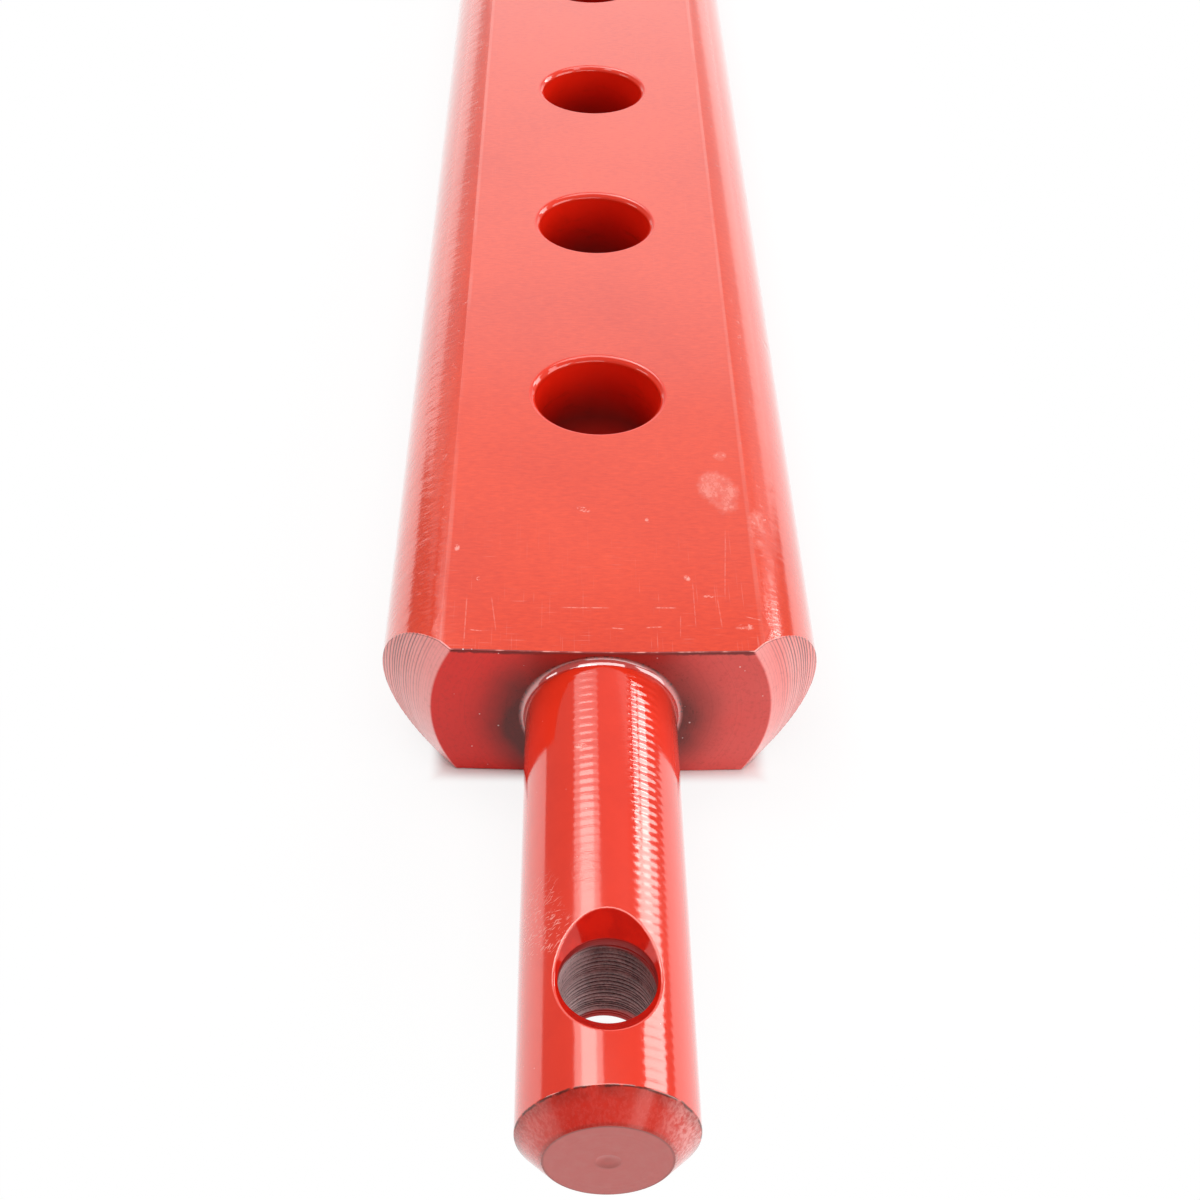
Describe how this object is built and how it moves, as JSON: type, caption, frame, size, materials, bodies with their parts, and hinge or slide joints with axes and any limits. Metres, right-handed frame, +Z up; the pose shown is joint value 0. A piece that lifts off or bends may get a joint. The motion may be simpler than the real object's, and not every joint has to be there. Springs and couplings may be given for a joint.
{
  "type": "tractor drawbar",
  "caption": "Flat steel drawbar for a category 1 three-point linkage, with a turned link pin at each end and a row of hitch holes along its middle, in red enamel.",
  "frame": {"origin": "middle of the bar, on the common axis of the two link pins", "axes": "+X along the bar to the right-hand link pin, +Y across the width of the bar, +Z up through its thickness, along the holes"},
  "size_m": [0.825, 0.065, 0.025],
  "materials": {
    "red_enamel": "gloss enamel over rolled and turned steel, scuffed near the shoulders, bare steel in the linchpin holes"
  },
  "bodies": {
    "root": {"drawbar": "red_enamel"}
  },
  "joints": []
}
